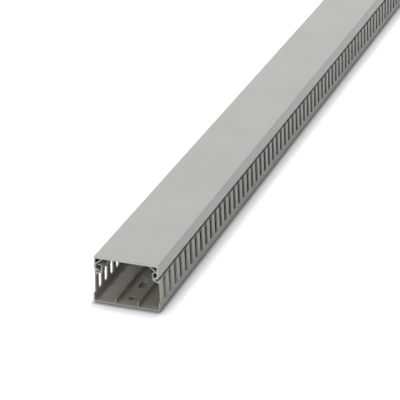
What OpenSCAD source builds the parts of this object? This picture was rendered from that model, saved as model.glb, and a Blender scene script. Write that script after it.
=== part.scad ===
// Slotted wire duct with a clip-on cover: a rigid extruded trunking whose side
// walls are punched into fingers, and a cover that clips over the finger heads.
// The duct runs along Y, stands on its flat floor, and is centred on the origin.

/* [Duct] */
// Length of the stock
duct_len = 2000; // [500:12.5:3000]
// Outside width over the two walls at the foot
duct_w = 60; // [55:0.5:120]
// Thickness of a side wall and its fingers
wall_t = 1.3; // [1.1:0.1:1.6]
// How far a wall leans in between its foot and its shoulder
wall_lean = 0.6; // [0.2:0.1:1.2]
// Thickness of the floor
floor_t = 2; // [1.4:0.1:3]
// Outside radius along the two bottom edges
edge_r = 2.5; // [1.5:0.1:3.5]
// Height of the shoulder, up to where its outside bevel begins
shoulder_z = 28.6; // [26:0.2:60]

/* [Fingers] */
// Distance from one slot to the next
slot_pitch = 12.5; // [10:0.5:15]
// Width of a slot
slot_w = 6.2; // [4:0.1:7.5]
// Height of the solid band under the slots
band_h = 8.6; // [7:0.2:14]
// Size of the slanting cut in the two bottom corners of a slot
corner_cut = 1; // [0.6:0.1:1.6]
// Width and height of the bevel outside the tip of the shoulder
bevel_w = 0.8; // [0.5:0.1:1.2]
// Width of the groove's outer flank, from the tip of the shoulder inwards
groove_w = 1.6; // [1.2:0.1:2]
// Depth of the groove below the tip of the shoulder
groove_d = 2.4; // [2:0.1:3]
// Rise of the ledge from the groove to the neck
ledge_rise = 1.3; // [0.8:0.1:1.8]
// Upright thickness of the ledge
ledge_t = 1.8; // [1.2:0.1:2.2]
// Reach from the face of the foot to the nose of the ledge and the back of the curl
ledge_reach = 8; // [7.4:0.1:9]
// Width of the neck where it stands on the ledge
neck_w = 2; // [1.8:0.1:2.4]
// Height of the neck between the ledge and the lowest point of the curl
neck_h = 0.9; // [0.7:0.1:1.6]

/* [Finger head] */
// Outside radius of the curled head
head_r = 3; // [2.8:0.1:3.4]
// Wall of the curled head
head_t = 1.2; // [0.9:0.1:1.4]
// Where the curl ends, measured up from the horizontal
curl_end = 55; // [40:5:80]

/* [Floor] */
// Distance between the two ribs on the floor
rib_gap = 20; // [14:0.5:30]
// Thickness of a rib
rib_t = 1; // [0.8:0.1:2]
// Height of a rib above the floor
rib_h = 4; // [2:0.5:6]
// Distance between floor holes, round and oblong by turns
hole_pitch = 25; // [12.5:12.5:50]
// Diameter of the round holes and width of the oblong ones
hole_d = 6; // [4:0.1:7]
// Overall length of an oblong hole
hole_len = 12; // [8:0.5:18]

/* [Cover] */
// Length that the cover is cut short at each end
cover_inset = 1; // [0.5:0.5:5]
// Thickness of the top plate
plate_t = 2.3; // [1.6:0.1:2.6]
// Thickness of a skirt
skirt_t = 1.6; // [1.2:0.1:1.8]
// How far the skirt stands back from the face of the foot
skirt_back = 1.1; // [0.8:0.1:1.4]
// Height of the outside face of a skirt
skirt_h = 12.5; // [12:0.1:15]
// Gap between the tip of a shoulder and the foot of the skirt
seat_gap = 1.1; // [0.8:0.1:1.8]
// Upright thickness of the lip that slopes in under the curl
lip_t = 1.3; // [0.9:0.1:1.4]
// How far the lip drops from the foot of the skirt to its tip
lip_drop = 1.4; // [1:0.1:1.6]
// Running gap between the tip of the lip and the neck of a finger
lip_gap = 0.4; // [0.3:0.05:0.8]
// Outside radius along the two top edges
cover_r = 1; // [0.5:0.1:1.5]
// Upright thickness of the slanting web in each top corner
web_t = 1.1; // [0.8:0.1:1.4]
// Height from the foot of the skirt up to where the web's hollow begins
web_up = 5.9; // [5.4:0.1:7]
// Width of the hollow over the web, along the plate
web_run = 5.6; // [4.8:0.2:8]

/* [Hidden] */
grey = "#8d8b86";
light_grey = "#a9a9a4";
// cut on the small corners of both pieces
corner = 0.3;
// what a cutter reaches past the faces that it cuts
over = 1;
half_w = duct_w / 2;
slots = floor(duct_len / slot_pitch + 0.001);
slot_start = -slots * slot_pitch / 2;
holes = floor(duct_len / hole_pitch + 0.001);
// the finger, from its shoulder inwards
tip_x = half_w - wall_lean - bevel_w;
tip_z = shoulder_z + bevel_w;
groove_x = tip_x - groove_w;
groove_z = tip_z - groove_d;
ledge_top = groove_z + ledge_rise;
nose_x = half_w - ledge_reach;
neck_x = nose_x + neck_w;
ledge_slope = ledge_rise / (groove_x - neck_x);
head_x = nose_x + head_r;
head_z = ledge_top + neck_h + head_r;
// angles on the curl at which the neck's two sides meet it
neck_out_at = 238;
neck_in_at = 212;
// the cover, from the skirt's foot upwards
lip_z = tip_z + seat_gap;
lip_x = neck_x + lip_gap;
skirt_x = half_w - skirt_back;
skirt_in = skirt_x - skirt_t;
cover_z = lip_z + skirt_h;
plate_z = cover_z - plate_t;
web_z = lip_z + web_up;
web_x = skirt_in - web_run;

// Outside face of a wall at a height, as it leans in
function wall_at(z) = half_w - wall_lean * (z - edge_r) / (shoulder_z - edge_r);

// Underside of the ledge at a distance from the middle plane
function under_at(x) = groove_z - ledge_t - (x - groove_x) * ledge_slope;

// A point on a circle
function on_circle(c, r, a) = c + r * [cos(a), sin(a)];

// Points along an arc, both ends included
function arc(c, r, from, to, n) = [for (i = [0:n]) on_circle(c, r, from + (to - from) * i / n)];

// A half outline joined to its mirror image
function both_sides(half) =
    concat(half, [for (i = [len(half) - 1:-1:0]) [-half[i][0], half[i][1]]]);

// Right half of the base outline without the curl of the head, from the bottom up the
// wall, over the shoulder and its groove, round the ledge's nose, and back to the floor
function base_half() = let (
    head = [head_x, head_z],
    foot_z = floor_t + edge_r / 2,
    root_x = wall_at(groove_z - ledge_t) - wall_t - 2 * corner,
    root_z = under_at(root_x)) concat(
    arc([half_w - edge_r, edge_r], edge_r, -90, 0, 4),
    [[half_w - wall_lean, shoulder_z],
     [tip_x, tip_z],
     [groove_x, groove_z],
     [neck_x, ledge_top],
     on_circle(head, head_r - head_t / 2, neck_out_at),
     on_circle(head, head_r - head_t / 2, neck_in_at),
     [nose_x + corner / 2, ledge_top],
     [nose_x, ledge_top - 2 * corner],
     [nose_x + head_t, under_at(nose_x + head_t)],
     [root_x, root_z],
     [wall_at(root_z) - wall_t, root_z - 2 * corner],
     [wall_at(foot_z) - wall_t, foot_z],
     [half_w - wall_t - edge_r / 2, floor_t],
     [(rib_gap + rib_t) / 2, floor_t],
     [(rib_gap + rib_t) / 2, floor_t + rib_h],
     [(rib_gap - rib_t) / 2, floor_t + rib_h],
     [(rib_gap - rib_t) / 2, floor_t]]);

// The curl of a finger head: a ring with its mouth turned to the outside
module curl() {
    translate([head_x, head_z]) difference() {
        circle(r = head_r, $fn = 48);
        circle(r = head_r - head_t, $fn = 48);
        polygon(concat([[0, 0]], arc([0, 0], 2 * head_r, neck_out_at - 360, curl_end, 5)));
    }
}

// The whole base outline, with a curl on each side
module base_outline() {
    polygon(both_sides(base_half()));
    curl();
    mirror([1, 0]) curl();
}

// Right half of the cover outline, from the plate's underside down inside the skirt,
// round the lip, and up the outside face to the top
function cover_half() = let (tip = lip_z - lip_drop) concat(
    [[web_x - web_t, plate_z],
     [skirt_in, web_z - web_t],
     [skirt_in, lip_z + lip_t],
     [lip_x + corner, tip + lip_t],
     [lip_x, tip + lip_t - corner],
     [lip_x, tip + corner],
     [lip_x + corner, tip],
     [skirt_x - 2 * corner, lip_z],
     [skirt_x, lip_z + corner]],
    arc([skirt_x - cover_r, cover_z - cover_r], cover_r, 0, 90, 4));

// An outline in X and Z, drawn out along Y
module along_y(length) {
    translate([0, length / 2, 0]) rotate([90, 0, 0]) linear_extrude(height = length) children();
}

// The side view of the walls: a solid band below and a finger between each two slots
function comb() = let (top = head_z + head_r + over, half = duct_len / 2, w = slot_w / 2) concat(
    [[half, -over], [half, band_h]],
    [for (k = [slots:-1:0]) let (y = slot_start + k * slot_pitch)
        each concat(
            k < slots ? [[y + w, top], [y + w, band_h + corner_cut], [y + w - corner_cut, band_h]] : [],
            k > 0 ? [[y - w + corner_cut, band_h], [y - w, band_h + corner_cut], [y - w, top]] : [])],
    [[-half, band_h], [-half, -over]]);

// Cutter for one oblong hole, long along Y
module oblong(d, length, depth) {
    for (s = [-1, 1]) translate([0, s * (length - d) / 2, 0]) cylinder(d = d, h = depth, $fn = 48);
    translate([-d / 2, -(length - d) / 2, 0]) cube([d, length - d, depth]);
}

// The base: floor, ribs and fingered walls in one extrusion, punched afterwards
module duct_base() {
    depth = floor_t + 2 * over;
    color(grey) difference() {
        intersection() {
            along_y(duct_len) base_outline();
            rotate([90, 0, 90]) linear_extrude(height = duct_w + 2 * over, center = true) polygon(comb());
        }
        for (k = [0:holes - 1]) translate([0, (k + 0.5) * hole_pitch - duct_len / 2, -over])
            if (k % 2 == 0) cylinder(d = hole_d, h = depth, $fn = 48);
            else oblong(hole_d, hole_len, depth);
    }
}

// The cover: plate, skirts with sloping lips, and a slanting web across each top corner
module snap_cover() {
    color(light_grey) along_y(duct_len - 2 * cover_inset) difference() {
        polygon(both_sides(cover_half()));
        for (s = [-1, 1]) polygon([[s * web_x, plate_z], [s * skirt_in, plate_z], [s * skirt_in, web_z]]);
    }
}

duct_base();
snap_cover();
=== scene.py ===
# %% [markdown]
# # A slotted wire duct
# This lesson dresses a two metre length of slotted wire duct: a U-shaped base whose side
# walls are punched into fingers, and a cover that clips over the finger heads. Both are
# extruded from rigid PVC. The CAD model is the frame: it fixes every size and place, and
# here the same two pieces are made again as clean surfaces that take a fine finish.

import math

import bpy
import numpy as np
from mathutils import Matrix, Vector


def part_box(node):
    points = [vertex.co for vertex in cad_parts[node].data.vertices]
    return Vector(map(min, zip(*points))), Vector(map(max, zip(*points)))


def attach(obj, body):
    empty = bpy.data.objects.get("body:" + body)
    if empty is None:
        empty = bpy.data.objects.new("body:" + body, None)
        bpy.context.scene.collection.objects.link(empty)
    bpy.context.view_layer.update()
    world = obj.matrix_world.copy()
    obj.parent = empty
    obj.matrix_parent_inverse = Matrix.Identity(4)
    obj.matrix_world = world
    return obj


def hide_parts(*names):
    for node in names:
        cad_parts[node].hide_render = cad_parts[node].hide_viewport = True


MM = 0.001
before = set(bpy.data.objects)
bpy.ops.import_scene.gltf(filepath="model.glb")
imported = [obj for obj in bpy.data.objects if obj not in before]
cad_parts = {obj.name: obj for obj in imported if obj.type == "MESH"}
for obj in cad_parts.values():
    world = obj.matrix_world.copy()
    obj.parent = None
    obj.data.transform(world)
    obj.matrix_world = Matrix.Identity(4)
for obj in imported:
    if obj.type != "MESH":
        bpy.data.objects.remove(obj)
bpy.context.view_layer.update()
base_lo, base_hi = (np.array(c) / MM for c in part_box("duct_base"))
cover_lo, cover_hi = (np.array(c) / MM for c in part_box("snap_cover"))
print("base from", base_lo.round(2), "to", base_hi.round(2))
print("cover from", cover_lo.round(2), "to", cover_hi.round(2))

# %% [markdown]
# ## The driving sizes
# All lengths are in millimetres until a mesh is made. The overall sizes come from the
# frame. The others are the sizes of the profile: the wall, the finger with its shoulder,
# ledge and curled head, the two floor ribs, the floor holes, and the cover's lips and webs.
# Two sizes belong to the finish alone. The tip of each shoulder is blunted, and the foot
# of the cover's skirt has a wider bevel, because molten plastic rounds off such edges as
# it leaves the die.

# %% Sizes of the base
duct_len = base_hi[1] - base_lo[1]
near_end, far_end = base_lo[1], base_hi[1]
half_w = base_hi[0]
wall_t, wall_lean, floor_t = 1.3, 0.6, 2.0
edge_r, shoulder_z = 2.5, 28.6
slot_pitch, slot_w, band_h, corner_cut = 12.5, 6.2, 8.6, 1.0
bevel_w, groove_w, groove_d = 0.8, 1.6, 2.4
ledge_rise, ledge_t, ledge_reach = 1.3, 1.8, 8.0
neck_w, neck_h, head_r, head_t = 2.0, 0.9, 3.0, 1.2
neck_in_at, neck_out_at, curl_end = 212, 238, 55
rib_gap, rib_t, rib_h = 20.0, 1.0, 4.0
hole_pitch, hole_d, hole_len = 25.0, 6.0, 12.0
corner, tip_flat = 0.3, 0.45

slots = round(duct_len / slot_pitch)
holes = round(duct_len / hole_pitch)
print(slots, "slot pitches on each side, and", holes, "floor holes")

# %% Sizes of the cover
cover_ends = (cover_lo[1], cover_hi[1])
cover_z, skirt_x = cover_hi[2], cover_hi[0]
plate_t, skirt_t, cover_r = 2.3, 1.6, 1.0
seat_gap, lip_t, lip_drop, lip_gap = 1.1, 1.3, 1.4, 0.4
foot_bevel = 0.95
web_t, web_up, web_run = 1.1, 5.9, 5.6
print("cover", round(cover_ends[1] - cover_ends[0], 1), "mm long, top at", round(cover_z, 2))

# %% [markdown]
# ## Outlines from straight runs and arcs
# An extruded piece is one outline carried along a straight line, so the outline is where
# the shape is decided. It could be drawn by hand as a curve, but then a change of size
# means drawing it again. Here it is worked out from the sizes. It has only the points
# that the shape needs, and its round stretches are arcs.


# %% Arc and wall
def arc(centre, radius, start, stop, steps):
    """Points on a circle: the centre plus the radius times the cosine and sine of the
    angle, which goes from start to stop, in degrees."""
    a = np.radians(np.linspace(start, stop, steps + 1))
    return np.stack([centre[0] + radius * np.cos(a), centre[1] + radius * np.sin(a)], 1)


def wall_at(z):
    """Outside face of a wall: it leans in evenly from the foot to the shoulder."""
    return half_w - wall_lean * (z - edge_r) / (shoulder_z - edge_r)


# %% [markdown]
# ## One finger
# The finger is a strip of the wall. At its top it turns in over a groove, along a sloping
# ledge, up a short neck and round a curled head with its mouth to the outside. The cover's
# lip hooks into that mouth. The outline runs up the outside and comes back down the
# inside, so it is one open chain that starts and ends on the solid band below.

# %% Outline of a finger
foot_z = band_h + corner_cut
tip = np.array([half_w - wall_lean - bevel_w, shoulder_z + bevel_w])
groove = tip - (groove_w, groove_d)
ledge_top = groove[1] + ledge_rise
nose_x = half_w - ledge_reach
neck_x = nose_x + neck_w
ledge_slope = ledge_rise / (groove[0] - neck_x)
head = np.array([nose_x + head_r, ledge_top + neck_h + head_r])


def under_at(x):
    """Underside of the ledge: the ledge's top line, lowered by its upright thickness."""
    return groove[1] - ledge_t - (x - groove[0]) * ledge_slope


def meets_circle(outside, inside, centre, radius):
    """Where the line from a point outside a circle to one inside it crosses the circle:
    the smaller root of a quadratic in the distance along the line."""
    step, away = inside - outside, outside - centre
    a, b, c = step @ step, 2 * step @ away, away @ away - radius**2
    return outside + step * (-b - math.sqrt(b * b - 4 * a * c)) / (2 * a)


head_steps_in, head_steps_out = 9, 11
mid_ring = head_r - head_t / 2
neck_back = np.array([nose_x + corner / 2, ledge_top])
neck_top = meets_circle(neck_back, arc(head, mid_ring, neck_in_at, neck_in_at, 0)[0], head, head_r)
neck_top_at = math.degrees(math.atan2(*(neck_top - head)[::-1])) % 360
root_x = wall_at(groove[1] - ledge_t) - wall_t - 2 * corner
root_z = under_at(root_x)
finger_chain = np.concatenate([
    [(wall_at(foot_z), foot_z), (half_w - wall_lean, shoulder_z)],
    tip + [(tip_flat / 2, -tip_flat / 2), (-tip_flat / 3, -tip_flat / 2)],
    [groove, (neck_x, ledge_top)],
    arc(head, mid_ring, neck_out_at, neck_out_at, 0),
    arc(head, head_r - head_t, neck_out_at, curl_end, head_steps_in),
    arc(head, head_r, curl_end, neck_top_at, head_steps_out),
    [neck_back, (nose_x, ledge_top - 2 * corner), (nose_x + head_t, under_at(nose_x + head_t)),
     (root_x, root_z), (wall_at(root_z) - wall_t, root_z - 2 * corner),
     (wall_at(foot_z) - wall_t, foot_z)],
])
print("finger outline:", len(finger_chain), "points, head centre", head.round(2))

# %% [markdown]
# ## The trough below the fingers
# Under the slots the wall is one solid band, and with the floor and its two ribs it makes
# a trough. Its outline is split where the ribs stand: the strip between them is left for
# the holes. Going round the right half there are two chains, one outside and one inside.

# %% Outline of the trough
rib_in, rib_out = (rib_gap - rib_t) / 2, (rib_gap + rib_t) / 2
corner_z = floor_t + edge_r / 2
outer_chain = np.concatenate([
    [(rib_in, 0)],
    arc((half_w - edge_r, edge_r), edge_r, -90, 0, 5),
])
inner_chain = np.array([
    (wall_at(corner_z) - wall_t, corner_z),
    (half_w - wall_t - edge_r / 2, floor_t),
    (rib_out, floor_t),
    (rib_out, floor_t + rib_h),
    (rib_in, floor_t + rib_h),
    (rib_in, floor_t),
])
print("trough outline:", len(outer_chain) + len(inner_chain), "points each side")

# %% [markdown]
# ## Stations along the duct
# A station is a place along the duct where the outline has points. Each pitch has five:
# the middle of a slot, the start of its slanting corner, the finger's near edge and far
# edge, and the start of the next corner. The top of the band rises by the corner cut at
# the finger's edges and lies low elsewhere.

# %% Stations
half_slot = slot_w / 2
offsets = np.array([0, half_slot - corner_cut, half_slot, slot_pitch - half_slot,
                    slot_pitch - half_slot + corner_cut])
at_finger = np.array([False, False, True, True, False])
pitch_starts = near_end + slot_pitch * np.arange(slots)
station_y = np.append((pitch_starts[:, None] + offsets).ravel(), far_end)
is_finger = np.append(np.tile(at_finger, slots), False)
band_z = np.where(is_finger, foot_z, band_h)
finger_near = pitch_starts + half_slot
finger_far = finger_near + slot_pitch - slot_w
print(len(station_y), "stations and", 2 * slots, "fingers")

# %% [markdown]
# ## Gathering surfaces into one closed mesh
# Each surface is made on its own, as an array of corner points per face. At the end all
# points are welded where they coincide, which closes the seams exactly. Every face also
# keeps a mark: 0 for a surface that came out of the die, 1 for one punched or sawn.


# %% Face collector
class Surfaces:
    """Faces as arrays of corners, gathered by their number of corners."""

    def __init__(self):
        self.parts = []

    def add(self, corners, cut=0.0):
        """corners has the shape (faces, corners in a face, 3), anticlockwise from outside."""
        self.parts.append((np.asarray(corners, float), cut))

    def add_both_sides(self, corners, cut=0.0):
        """Adds faces and their mirror image in the middle plane, turned to face outwards."""
        corners = np.asarray(corners, float)
        self.add(corners, cut)
        self.add((corners * (-1, 1, 1))[:, ::-1], cut)

    def to_mesh(self, name, decimals=4):
        """Welds equal points: coordinates in millimetres are rounded to four decimals, a
        tenth of a micrometre, and the unique rows become the vertices."""
        flat = np.concatenate([c.reshape(-1, 3) for c, _ in self.parts])
        points, index = np.unique(flat.round(decimals), axis=0, return_inverse=True)
        index = index.ravel()
        sizes = np.concatenate([np.full(len(c), c.shape[1]) for c, _ in self.parts])
        marks = np.concatenate([np.full(len(c), cut) for c, cut in self.parts])
        starts = np.concatenate([[0], np.cumsum(sizes)[:-1]])
        mesh = bpy.data.meshes.new(name)
        mesh.vertices.add(len(points))
        mesh.vertices.foreach_set("co", (points * MM).ravel())
        mesh.loops.add(len(index))
        mesh.loops.foreach_set("vertex_index", index)
        mesh.polygons.add(len(sizes))
        mesh.polygons.foreach_set("loop_start", starts)
        mesh.attributes.new("cut", "FLOAT", "FACE").data.foreach_set("value", marks)
        mesh.update(calc_edges=True)
        mesh.validate()
        return mesh


def swept(chain, y0, y1):
    """Quads of a chain in X and Z carried from y0 to y1: for each stretch of the chain,
    its two ends at y0 and the same two at y1. y0 and y1 may be arrays of stations."""
    y0, y1 = np.atleast_1d(y0), np.atleast_1d(y1)
    a, b = chain[:-1], chain[1:]
    quads = np.empty((len(y0), len(a), 4, 3))
    for corner_no, (points, y) in enumerate([(a, y0), (a, y1), (b, y1), (b, y0)]):
        quads[:, :, corner_no, 0] = points[:, 0]
        quads[:, :, corner_no, 2] = points[:, 1]
        quads[:, :, corner_no, 1] = y[:, None]
    return quads.reshape(-1, 4, 3)


def flat_at(outline, y, turned=False):
    """One flat face per station y, with the outline's points in X and Z."""
    y = np.atleast_1d(y)
    faces = np.empty((len(y), len(outline), 3))
    faces[:, :, 0], faces[:, :, 2], faces[:, :, 1] = outline[:, 0], outline[:, 1], y[:, None]
    return faces[:, ::-1] if turned else faces


# %% [markdown]
# ## The base
# First the trough is swept through all stations. Its walls' top row follows the band's
# height, so the corners of the slots slant. Then come the band's top faces between the
# fingers, and each finger as a swept chain with its two punched sides.

# %% Trough, band and fingers
base = Surfaces()
base.add_both_sides(swept(outer_chain[::-1], station_y[1:], station_y[:-1]))
base.add_both_sides(swept(inner_chain[::-1], station_y[1:], station_y[:-1]))


def up_to_band(foot, thickness):
    """Quads from a foot line up to the band's top at each station: the top lies on the
    wall's leaning face, moved in by the thickness."""
    x, z = (np.full(len(station_y), value) for value in foot)
    low = np.stack([x, station_y, z], 1)
    high = np.stack([wall_at(band_z) - thickness, station_y, band_z], 1)
    return np.stack([low[:-1], low[1:], high[1:], high[:-1]], 1)


outside, inside = up_to_band(outer_chain[-1], 0), up_to_band(inner_chain[0], wall_t)
base.add_both_sides(outside)
base.add_both_sides(inside[:, ::-1])
open_above = ~(is_finger[:-1] & is_finger[1:])
band_top = np.stack([outside[:, 3], outside[:, 2], inside[:, 2], inside[:, 3]], 1)[open_above]
base.add_both_sides(band_top, cut=1.0)
base.add_both_sides(swept(finger_chain, finger_near, finger_far))
base.add_both_sides(flat_at(finger_chain, finger_near), cut=1.0)
base.add_both_sides(flat_at(finger_chain, finger_far, turned=True), cut=1.0)
print("fingers, band and trough:", sum(len(c) for c, _ in base.parts), "faces")

# %% [markdown]
# ## The floor with its holes
# Round and oblong holes follow each other down the floor. Each has a patch of floor of its
# own, one hole pitch long. The patch is a ring of quads between the hole's edge and the
# patch's edge, whose side points are the stations, so that it welds to the trough.

# %% Floor patches
across = np.linspace(-rib_in, rib_in, 7)
slack = 0.01


def patch_edge(centre_y):
    """The patch's edge, anticlockwise from above: up the right side through the stations,
    back along the far edge, down the left side and along the near edge."""
    near, far = centre_y - hole_pitch / 2, centre_y + hole_pitch / 2
    side = station_y[(station_y > near - slack) & (station_y < far + slack)]
    right = np.stack([np.full(len(side), rib_in), side], 1)
    left = right[::-1] * (-1, 1)
    far_row = np.stack([across[-2:0:-1], np.full(len(across) - 2, far)], 1)
    near_row = np.stack([across[1:-1], np.full(len(across) - 2, near)], 1)
    return np.concatenate([right, far_row, left, near_row])


def hole_edge(edge, centre_y, length):
    """The hole's edge seen along the same rays: half the diameter times the ray's
    direction, moved up or down by the straight part's half length."""
    ray = (edge - (0, centre_y)) / (rib_in, hole_pitch / 2)
    ray /= np.linalg.norm(ray, axis=1)[:, None]
    shift = np.sign(ray[:, 1].round(6)) * (length - hole_d) / 2
    return np.stack([ray[:, 0] * hole_d / 2, centre_y + shift + ray[:, 1] * hole_d / 2], 1)


def ring_quads(a, za, b, zb):
    """Quads between two closed rows of points at heights za and zb."""
    a3 = np.column_stack([a, np.full(len(a), za)])
    b3 = np.column_stack([b, np.full(len(b), zb)])
    return np.stack([a3, np.roll(a3, -1, 0), np.roll(b3, -1, 0), b3], 1)


for n in range(holes):
    y = near_end + (n + 0.5) * hole_pitch
    edge = patch_edge(y)
    hole = hole_edge(edge, y, hole_len if n % 2 else hole_d)
    base.add(ring_quads(edge, floor_t, hole, floor_t))
    base.add(ring_quads(hole, 0, edge, 0))
    base.add(ring_quads(hole, floor_t, hole, 0), cut=1.0)
print(holes, "holes, each with", len(hole), "points")

# %% [markdown]
# ## The sawn ends
# The stock is sawn through the middle of a slot, so only the trough shows its section at
# the ends, and the first finger stands half a slot back.

# %% Ends
band_points = np.array([(wall_at(band_h), band_h), (wall_at(band_h) - wall_t, band_h)])
right_half = np.concatenate([outer_chain, band_points, inner_chain])
under = np.stack([across[1:-1], np.zeros(len(across) - 2)], 1)
above = np.stack([across[-2:0:-1], np.full(len(across) - 2, floor_t)], 1)
section = np.concatenate([right_half, above, right_half[::-1] * (-1, 1), under])
base.add(flat_at(section, near_end), cut=1.0)
base.add(flat_at(section, far_end, turned=True), cut=1.0)
base_mesh = base.to_mesh("duct_base_extrusion")
print("base:", len(base_mesh.polygons), "faces,", len(base_mesh.vertices), "points")

# %% [markdown]
# ## The cover
# The cover is a plate with two skirts. Each skirt ends in a lip that slopes in under the
# curled heads, and a slanting web closes a three-sided hollow in each top corner. The
# outside and the two hollows are swept from end to end. A face can't have a hole, so each
# sawn end is cut at the hollows' corners into five: the plate, two corners and two webs.

# %% Cover outline
plate_z = cover_z - plate_t
skirt_in = skirt_x - skirt_t
lip_z = tip[1] + seat_gap
lip_x = neck_x + lip_gap
web_z = lip_z + web_up
web_x = skirt_in - web_run
lip_low = lip_z - lip_drop
web_side = np.array([
    (web_x - web_t, plate_z), (skirt_in, web_z - web_t), (skirt_in, lip_z + lip_t),
    (lip_x + corner, lip_low + lip_t), (lip_x, lip_low + lip_t - corner), (lip_x, lip_low + corner),
    (lip_x + corner, lip_low), (skirt_x - 2 * corner, lip_z), (skirt_x, lip_z + foot_bevel),
    (skirt_x, web_z),
])
top_corner = np.concatenate([
    arc((skirt_x - cover_r, cover_z - cover_r), cover_r, 0, 90, 6), [(web_x, cover_z)]])
hollow = np.array([(web_x, plate_z), (skirt_in, plate_z), (skirt_in, web_z)])
print("cover outline:", len(web_side) + len(top_corner), "points each side")

# %% Cover surfaces
cover = Surfaces()
y0, y1 = cover_ends
half_outline = np.concatenate([web_side, top_corner])
middle = np.array([(web_x, cover_z), (-web_x, cover_z)])
under_plate = np.array([(web_t - web_x, plate_z), (web_x - web_t, plate_z)])
cover.add_both_sides(swept(half_outline, y0, y1))
cover.add(swept(middle, y0, y1))
cover.add(swept(under_plate, y0, y1))
cover.add_both_sides(swept(np.vstack([hollow, hollow[:1]]), y0, y1))
web_face = np.concatenate([web_side, hollow[::-1][[0, 2]]])
corner_face = np.concatenate([[web_side[-1]], top_corner, hollow])
plate_face = np.concatenate([middle, hollow[:1] * (-1, 1), under_plate, hollow[:1]])
for y, turned in ((y0, False), (y1, True)):
    cover.add_both_sides(flat_at(web_face, y, turned), cut=1.0)
    cover.add_both_sides(flat_at(corner_face, y, turned), cut=1.0)
    cover.add(flat_at(plate_face, y, turned), cut=1.0)
cover_mesh = cover.to_mesh("cover_extrusion")
print("cover:", len(cover_mesh.polygons), "faces,", len(cover_mesh.vertices), "points")

# %% [markdown]
# ## Pieces that ride on the CAD bodies
# Each mesh becomes one object at the origin, which rides on its CAD body and stands for
# its CAD solid. Stretches that turn by less than 35 degrees are shaded smoothly, and real
# edges stay sharp. A small Bevel takes the razor edge off where two faces turn by more
# than 50 degrees: an extrusion's corners are never perfectly sharp, and the rounded edge
# catches a thin line of light.


# %% Make the pieces
smooth_up_to, bevel_past = math.radians(35), math.radians(50)


def make_piece(name, mesh, body, node, edge):
    """One object for a mesh, with smooth round stretches and a bevel of the given width."""
    piece = bpy.data.objects.new(name, mesh)
    bpy.context.scene.collection.objects.link(piece)
    mesh.shade_smooth()
    mesh.set_sharp_from_angle(angle=smooth_up_to)
    bevel = piece.modifiers.new("softened_edges", "BEVEL")
    bevel.width = edge * MM
    bevel.segments = 1
    bevel.limit_method = "ANGLE"
    bevel.angle_limit = bevel_past
    bevel.harden_normals = True
    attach(piece, body)
    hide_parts(node)
    return piece


duct = make_piece("finger_duct", base_mesh, "base", "duct_base", 0.12)
lid = make_piece("clip_cover", cover_mesh, "cover", "snap_cover", 0.15)
print("pieces:", duct.name, "and", lid.name)

# %% [markdown]
# ## The finish: extruded rigid PVC
# Rigid PVC comes out of the die satin and very even. What gives it away is fine lines that
# run along the piece, left by the die, and a slight cloudiness. Where it was punched or
# sawn it is rougher, and its tone is a little off. Its narrow gaps get a painted shade: a
# darker colour. One function makes both greys, and two small helpers come first.


# %% Node and colour helpers
def linear(hex_colour):
    """sRGB hex to linear: each channel is divided by 12.92 below 0.04045, and otherwise
    raised to 2.4 after an offset."""
    c = np.array([int(hex_colour[i:i + 2], 16) for i in (1, 3, 5)]) / 255
    low = c / 12.92
    high = ((c + 0.055) / 1.055) ** 2.4
    return (*np.where(c <= 0.04045, low, high), 1.0)


def add_node(tree, kind, links={}, values={}, **settings):
    """Adds a node and sets its properties. links gives the output that feeds an input,
    and values the constant that an input holds, each by the input's name or number."""
    node = tree.nodes.new(kind)
    for key, value in settings.items():
        setattr(node, key, value)
    for key, value in values.items():
        node.inputs[key].default_value = value
    for key, source in links.items():
        tree.links.new(source, node.inputs[key])
    return node


# %% [markdown]
# ## The colour of the PVC
# The die lines are noise on Object coordinates, stretched two hundred times along the
# duct: 1.5 mm apart across it and 300 mm long. Real ones are finer, about 0.3 mm, so
# these are drawn as coarse as they need to be to show. The clouds are about 80 mm wide.
# The painted shade follows Ambient Occlusion, which tells how much of the space within 9 mm
# of a point is open: a slot's wall and the gap under the skirt are narrow and get the dark
# colour, a flat face does not.

# %% Colour of the PVC
line_gap, line_run, crevice_shade_reach = 1.5, 300.0, 9.0
clouds_per_metre = 12.0


def pvc_colour(tree, where, lines, cut, colour, cloud_colour, cut_colour, crevice_shade_colour):
    """The colour goes to the cloud colour by the clouds plus a third of the die lines, to
    the cut colour where a face was punched or sawn, and to a dark grey, painted shade, where it is
    narrow."""
    clouds = add_node(tree, "ShaderNodeTexNoise", {"Vector": where},
                      {"Scale": clouds_per_metre, "Detail": 2.0})
    tone = add_node(tree, "ShaderNodeMapRange", {"Value": clouds.outputs[0]},
                    {"From Min": 0.35, "From Max": 0.65})
    streak = add_node(tree, "ShaderNodeMapRange", {"Value": lines},
                      {"From Min": 0.3, "From Max": 0.7, "To Max": 0.35})
    share = add_node(tree, "ShaderNodeMath", {0: tone.outputs[0], 1: streak.outputs[0]},
                     operation="ADD", use_clamp=True)
    body = add_node(tree, "ShaderNodeMix", {"Factor": share.outputs[0]},
                    {6: linear(colour), 7: linear(cloud_colour)}, data_type="RGBA")
    skin = add_node(tree, "ShaderNodeMix", {"Factor": cut, 6: body.outputs[2]},
                    {7: linear(cut_colour)}, data_type="RGBA")
    # Painted shade: where little of the space within reach is open, the colour goes towards a dark
    # grey.
    space = add_node(tree, "ShaderNodeAmbientOcclusion", values={"Distance": crevice_shade_reach * MM},
                     samples=8)
    narrow = add_node(tree, "ShaderNodeMapRange", {"Value": space.outputs["AO"]},
                      {"From Min": 0.1, "From Max": 0.55, "To Min": 0.95, "To Max": 0.0})
    crevice_shaded = add_node(tree, "ShaderNodeMix", {"Factor": narrow.outputs[0], 6: skin.outputs[2]},
                     {7: linear(crevice_shade_colour)}, data_type="RGBA")
    return crevice_shaded.outputs[2]


# %% [markdown]
# ## The surface of the PVC
# The die lines stand 0.05 mm high at most. The saw and the punch leave marks instead,
# about 0.8 mm apart, and a rougher surface. PVC has an IOR of about 1.53, and a surface
# fresh from the die reflects a little less than a polished one.

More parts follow.
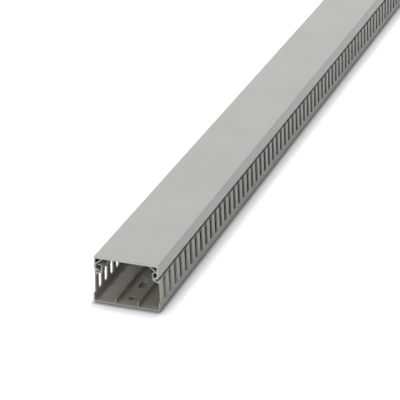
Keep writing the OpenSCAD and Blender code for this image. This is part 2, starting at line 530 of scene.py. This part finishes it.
# %% PVC material
mark_gap, relief_height = 0.8, 0.05


def extruded_pvc(name, colours, roughness):
    """Satin extruded PVC: its colour, die lines in the bump, and rougher cut faces. The
    colours are the skin, the clouds, the cut faces and the painted shade for narrow gaps."""
    material = bpy.data.materials.new(name)
    material.use_nodes = True
    tree = material.node_tree
    tree.nodes.clear()
    where = add_node(tree, "ShaderNodeTexCoord").outputs["Object"]
    along = add_node(tree, "ShaderNodeMapping", {"Vector": where},
                     {"Scale": (1 / line_gap, 1 / line_run, 1 / line_gap)})
    lines = add_node(tree, "ShaderNodeTexNoise", {"Vector": along.outputs[0]},
                     {"Scale": 1 / MM, "Detail": 3.0, "Roughness": 0.6}).outputs[0]
    cut = add_node(tree, "ShaderNodeAttribute", attribute_name="cut").outputs["Fac"]
    marks = add_node(tree, "ShaderNodeTexNoise", {"Vector": where},
                     {"Scale": 1 / (mark_gap * MM), "Detail": 2.0})
    relief = add_node(tree, "ShaderNodeMix", {"Factor": cut, 2: lines, 3: marks.outputs[0]})
    bump = add_node(tree, "ShaderNodeBump", {"Height": relief.outputs[0]},
                    {"Strength": 0.35, "Distance": relief_height * MM})
    gloss = add_node(tree, "ShaderNodeMapRange", {"Value": cut},
                     {"To Min": roughness, "To Max": roughness + 0.2})
    shader = add_node(tree, "ShaderNodeBsdfPrincipled",
                      {"Base Color": pvc_colour(tree, where, lines, cut, *colours),
                       "Roughness": gloss.outputs[0], "Normal": bump.outputs[0]},
                      {"IOR": 1.53, "Specular IOR Level": 0.4})
    add_node(tree, "ShaderNodeOutputMaterial", {"Surface": shader.outputs[0]})
    return material


# The fourth colour of each is the dark grey that is painted as shade into narrow gaps.
base_pvc = extruded_pvc("extruded_rigid_pvc_stone_grey",
                        ("#9a9991", "#9f9e96", "#9c9b93", "#393832"), 0.5)
cover_pvc = extruded_pvc("extruded_rigid_pvc_light_grey",
                         ("#abaca8", "#afb0ac", "#b4b4b0", "#4a4944"), 0.48)
duct.data.materials.append(base_pvc)
lid.data.materials.append(cover_pvc)
print("materials:", base_pvc.name, "and", cover_pvc.name)

# %% [markdown]
# ## The table
# The duct lies on a plain white table. Its colour is matt, so it takes the duct's soft
# shadow and throws a little light back up. Matt white alone would come out light grey, so
# a plain light is added, which only the camera and reflections see. That light fades out
# towards the duct, so its fade paints part of the soft shadow there. The table's colour is
# darkened under the duct and just past its foot, a painted shade that draws the dark line of
# contact.


# %% Distance from the footprint
def seen_directly(tree):
    """1 for a ray from the camera or from a reflection, 0 for any other: the larger of
    the two answers of Light Path."""
    rays = add_node(tree, "ShaderNodeLightPath").outputs
    return add_node(tree, "ShaderNodeMath", {0: rays["Is Camera Ray"], 1: rays["Is Glossy Ray"]},
                    operation="MAXIMUM").outputs[0]


def past_footprint(tree, half_x, half_y):
    """How far a point lies outside a rectangle round the origin: the length of what its
    coordinates, without their signs, exceed the half sides by, counted from zero up."""
    where = add_node(tree, "ShaderNodeTexCoord").outputs["Object"]
    unsigned = add_node(tree, "ShaderNodeVectorMath", {0: where}, operation="ABSOLUTE")
    past = add_node(tree, "ShaderNodeVectorMath", {0: unsigned.outputs[0]},
                    {1: (half_x, half_y, 0)}, operation="SUBTRACT")
    outside = add_node(tree, "ShaderNodeVectorMath", {0: past.outputs[0]}, {1: (0, 0, 0)},
                       operation="MAXIMUM")
    return add_node(tree, "ShaderNodeVectorMath", {0: outside.outputs[0]},
                    operation="LENGTH").outputs["Value"]


# %% Table
def make_table(size=60.0, glow=0.85, fade=33.0, contact=5.0):
    """A square in the floor plane, size metres wide. The plain light grows evenly from
    nothing at the duct's foot to glow at the distance fade, and the colour goes from a dark
    painted shade to light over the distance contact, both in millimetres."""
    h = size / 2
    mesh = bpy.data.meshes.new("table")
    mesh.from_pydata([(-h, -h, 0), (h, -h, 0), (h, h, 0), (-h, h, 0)], [], [(0, 1, 2, 3)])
    material = bpy.data.materials.new("white_table")
    material.use_nodes = True
    tree = material.node_tree
    tree.nodes.clear()
    distance = past_footprint(tree, (half_w - edge_r) * MM, far_end * MM)
    # The plain light fades out towards the duct, which paints part of the soft shadow round it.
    clear = add_node(tree, "ShaderNodeMapRange", {"Value": distance},
                     {"From Max": fade * MM, "To Max": glow})
    strength = add_node(tree, "ShaderNodeMath", {0: seen_directly(tree), 1: clear.outputs[0]},
                        operation="MULTIPLY")
    # Painted shade: the table's colour is a dark grey under the duct and lightens over the distance
    # contact past its foot.
    near = add_node(tree, "ShaderNodeMapRange", {"Value": distance}, {"From Max": contact * MM})
    tone = add_node(tree, "ShaderNodeMix", {"Factor": near.outputs[0]},
                    {6: linear("#8b8a85"), 7: linear("#f0f1f5")}, data_type="RGBA")
    matt = add_node(tree, "ShaderNodeBsdfDiffuse", {"Color": tone.outputs[2]})
    light = add_node(tree, "ShaderNodeEmission", {"Strength": strength.outputs[0]})
    both = add_node(tree, "ShaderNodeAddShader", {0: matt.outputs[0], 1: light.outputs[0]})
    add_node(tree, "ShaderNodeOutputMaterial", {"Surface": both.outputs[0]})
    mesh.materials.append(material)
    table = bpy.data.objects.new("table", mesh)
    bpy.context.scene.collection.objects.link(table)
    return table


print("stage:", make_table().name)

# %% [markdown]
# ## The light
# Three soft lamps stand well away from the duct, so that its two metres are lit evenly. The
# key lamp hangs above and to the left. The other two are lower, beyond the two ends: one
# lights the sawn end and the inside, the other rakes along the top and the fingers. Seen
# along the duct, its flat top would mirror those two as a white glare, so they are left
# out of reflections.


# %% Lamps
def soft_lamp(name, place, target, size, power, shine=False):
    """A round area lamp at place, turned to shine on target, with its size in metres and
    its power in watts. Only a lamp with shine shows in reflections."""
    data = bpy.data.lights.new(name, "AREA")
    data.shape = "DISK"
    data.size = size
    data.energy = power
    lamp = bpy.data.objects.new(name, data)
    lamp.location = place
    lamp.rotation_euler = (Vector(target) - Vector(place)).to_track_quat("-Z", "Y").to_euler()
    lamp.visible_glossy = shine
    bpy.context.scene.collection.objects.link(lamp)
    return lamp


soft_lamp("key_lamp", (-1.2, -0.6, 3.8), (0.0, -0.6, 0.0), 2.6, 84, shine=True)
soft_lamp("end_lamp", (-0.5, -5.6, 1.8), (0.0, -1.0, 0.0), 3.6, 140)
soft_lamp("far_lamp", (0.2, 5.4, 3.4), (0.0, -0.6, 0.0), 4.0, 295)
print("three soft lamps, one of them with a reflection")

# %% [markdown]
# ## The world
# The world is plain white where the camera or a reflection meets it. As a light it is held
# low, so that it only softens the shadows.

# %% World
fill, shown = 0.155, 1.0
world = bpy.data.worlds.new("plain_studio")
bpy.context.scene.world = world
world.use_nodes = True
sky = world.node_tree
sky.nodes.clear()
strength = add_node(sky, "ShaderNodeMapRange", {"Value": seen_directly(sky)},
                    {"To Min": fill, "To Max": shown})
backdrop = add_node(sky, "ShaderNodeBackground", {"Strength": strength.outputs[0]},
                    {"Color": linear("#ffffff")})
add_node(sky, "ShaderNodeOutputWorld", {"Surface": backdrop.outputs[0]})
print("white world, with a light of", fill)

# %% [markdown]
# ## Camera
# The camera stands before the near end, to its right and well above it, and looks along
# the duct through a long lens. Its turn is given by three angles: to the left, down, and a
# slight roll about the line of sight. Three unit vectors follow from them, ahead, to the
# right and up, and they are the columns of the camera's matrix.

# %% Camera
beside, before, above_floor = 539.0, 1246.7, 747.3
turn, tilt, roll = (math.radians(a) for a in (20.732, 25.601, -1.335))
ahead = Vector((-math.sin(turn) * math.cos(tilt), math.cos(turn) * math.cos(tilt), -math.sin(tilt)))
level = Vector((math.cos(turn), math.sin(turn), 0))
upright = level.cross(ahead)
camera_x = math.cos(roll) * level + math.sin(roll) * upright
camera_y = -math.sin(roll) * level + math.cos(roll) * upright
place = Vector((beside, near_end - before, above_floor)) * MM

lens = bpy.data.cameras.new("long_lens")
lens.sensor_width = 36.0
lens.lens = 167.37
lens.clip_start, lens.clip_end = 0.01, 200.0
camera = bpy.data.objects.new("camera", lens)
camera.matrix_world = Matrix((camera_x, camera_y, -ahead)).transposed().to_4x4()
camera.matrix_world.translation = place
bpy.context.scene.collection.objects.link(camera)
bpy.context.scene.camera = camera
bpy.context.scene.view_settings.view_transform = "Standard"
print("camera at", tuple(round(v, 3) for v in place))
